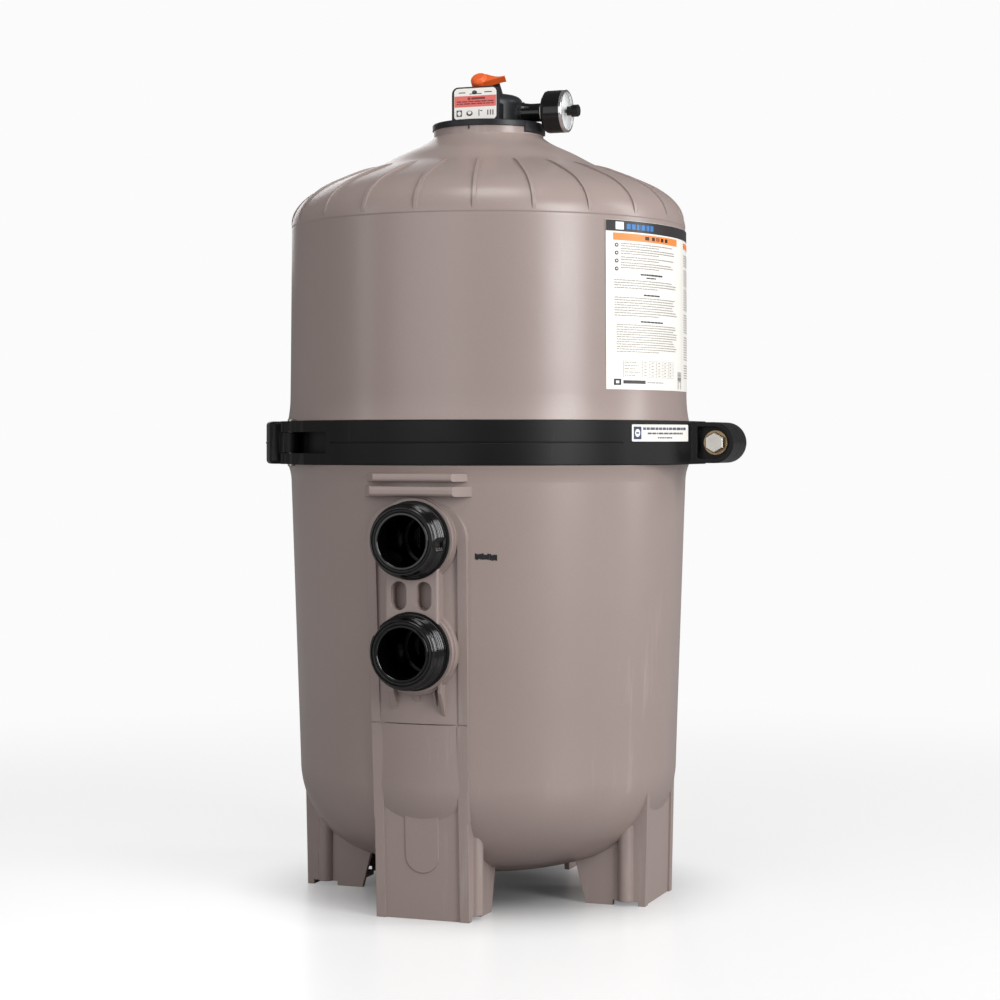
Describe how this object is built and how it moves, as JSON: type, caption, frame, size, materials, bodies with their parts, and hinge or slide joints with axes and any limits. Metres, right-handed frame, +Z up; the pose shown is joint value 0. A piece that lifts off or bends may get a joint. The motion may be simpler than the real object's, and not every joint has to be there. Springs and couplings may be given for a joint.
{
  "type": "pool filter tank",
  "caption": "Free-standing two-shell pool filter tank joined by a hinged band clamp, with vertical grid elements inside, two side ports, an air relief valve and a pressure gauge.",
  "frame": {"origin": "floor level on the tank axis, centre of the foot anchor circle", "axes": "+Z up along the tank, -Y the way the two ports face, +X the clamp bolt and gauge side"},
  "size_m": [0.6597, 0.5912, 1.1141],
  "materials": {
    "tank_plastic": "moulded taupe resin, fine satin grain",
    "clamp_plastic": "black glass-filled plastic, satin",
    "port_plastic": "gloss black plastic",
    "valve_plastic": "dark grey plastic, satin",
    "lever_plastic": "orange plastic, soft gloss",
    "inner_plastic": "white plastic, satin",
    "cloth": "woven polyester cloth",
    "seal_rubber": "black rubber",
    "bolt_steel": "stainless steel",
    "washer_steel": "yellow zinc plated",
    "brass": "turned brass",
    "label_film": "printed vinyl film",
    "gauge_black": "gloss black enamel",
    "chrome_ring": "bright plated ring",
    "gauge_dial": "printed white dial",
    "gauge_lens": "clear moulded lens"
  },
  "bodies": {
    "tank": {"air_strainer": "inner_plastic", "air_tube": "inner_plastic", "clamp_spine": "clamp_plastic", "element_spacer": "inner_plastic", "front_hinge_pin": "bolt_steel", "gauge_adapter": "gauge_black", "gauge_bezel": "chrome_ring", "gauge_case": "gauge_black", "gauge_dial": "gauge_dial", "gauge_lens": "gauge_lens", "gauge_stem": "brass", "gauge_washer": "inner_plastic", "grid_element_1": "cloth", "grid_element_2": "cloth", "grid_element_3": "cloth", "grid_element_4": "cloth", "grid_element_5": "cloth", "grid_element_6": "cloth", "grid_element_7": "cloth", "grid_element_8": "cloth", "inlet_diffuser": "port_plastic", "lower_port_face_seal": "seal_rubber", "lower_port_fitting": "port_plastic", "lower_port_gasket": "seal_rubber", "lower_port_locknut": "port_plastic", "lower_tank": "tank_plastic", "manifold_lower": "inner_plastic", "manifold_upper": "inner_plastic", "outlet_elbow": "port_plastic", "rear_hinge_pin": "bolt_steel", "standpipe": "inner_plastic", "stem_o_ring": "seal_rubber", "tank_label": "label_film", "tank_o_ring": "seal_rubber", "tie_rod": "bolt_steel", "tie_rod_nut": "bolt_steel", "tie_rod_washer": "bolt_steel", "upper_port_face_seal": "seal_rubber", "upper_port_fitting": "port_plastic", "upper_port_gasket": "seal_rubber", "upper_port_locknut": "port_plastic", "upper_tank": "tank_plastic", "valve_body": "valve_plastic", "valve_label": "label_film", "valve_o_ring": "seal_rubber", "valve_ring": "valve_plastic"},
    "front_jaw": {"clamp_front_jaw": "clamp_plastic", "clamp_label": "label_film"},
    "rear_jaw": {"clamp_rear_jaw": "clamp_plastic", "clamp_insert": "brass"},
    "bolt_slide": {"bolt_washer": "washer_steel"},
    "bolt": {"clamp_bolt": "bolt_steel"},
    "lever": {"relief_lever": "lever_plastic", "valve_stem": "valve_plastic"},
    "needle": {"gauge_needle": "gauge_black"},
    "set_knob": {"gauge_set_knob": "gauge_black"},
    "drain_slide": {"drain_plug_o_ring": "seal_rubber"},
    "drain": {"drain_plug": "valve_plastic"}
  },
  "joints": [
    {"name": "front_jaw_hinge", "type": "hinge", "parent": "tank", "child": "front_jaw", "pos_m": [-0.21207, -0.18435, 0.6105], "axis": [0, 0, -1], "range_deg": [0, 70]},
    {"name": "rear_jaw_hinge", "type": "hinge", "parent": "tank", "child": "rear_jaw", "pos_m": [-0.21207, 0.18435, 0.6105], "axis": [0, 0, 1], "range_deg": [0, 70]},
    {"name": "bolt_draw", "type": "slide", "parent": "front_jaw", "child": "bolt_slide", "axis": [0, -1, 0], "range_m": [0, 0.035]},
    {"name": "bolt_turn", "type": "hinge", "parent": "bolt_slide", "child": "bolt", "pos_m": [0.328, 0, 0.6105], "axis": [0, -1, 0], "range_deg": [0, 6300]},
    {"name": "lever_turn", "type": "hinge", "parent": "tank", "child": "lever", "pos_m": [0, -0.035, 1.103], "axis": [0, -0.7071, 0.7071], "range_deg": [0, 90]},
    {"name": "needle_turn", "type": "hinge", "parent": "tank", "child": "needle", "pos_m": [0.108, 0, 1.061], "axis": [1, 0, 0], "range_deg": [-270, 0], "stiffness_Nm_per_rad": 0.0004},
    {"name": "set_knob_turn", "type": "hinge", "parent": "tank", "child": "set_knob", "pos_m": [0.12, 0, 1.061], "axis": [1, 0, 0], "continuous": true},
    {"name": "drain_draw", "type": "slide", "parent": "tank", "child": "drain_slide", "axis": [0.7071, 0.7071, 0], "range_m": [0, 0.032]},
    {"name": "drain_turn", "type": "hinge", "parent": "drain_slide", "child": "drain", "pos_m": [0.18526, 0.18526, 0.128], "axis": [0.7071, 0.7071, 0], "range_deg": [0, 4800]}
  ],
  "couplings": [
    {"joint": "rear_jaw_hinge", "follows": "front_jaw_hinge", "ratio": 1},
    {"joint": "bolt_turn", "follows": "bolt_draw", "rad_per_m": 3141.6},
    {"joint": "drain_turn", "follows": "drain_draw", "rad_per_m": 2513.3}
  ]
}
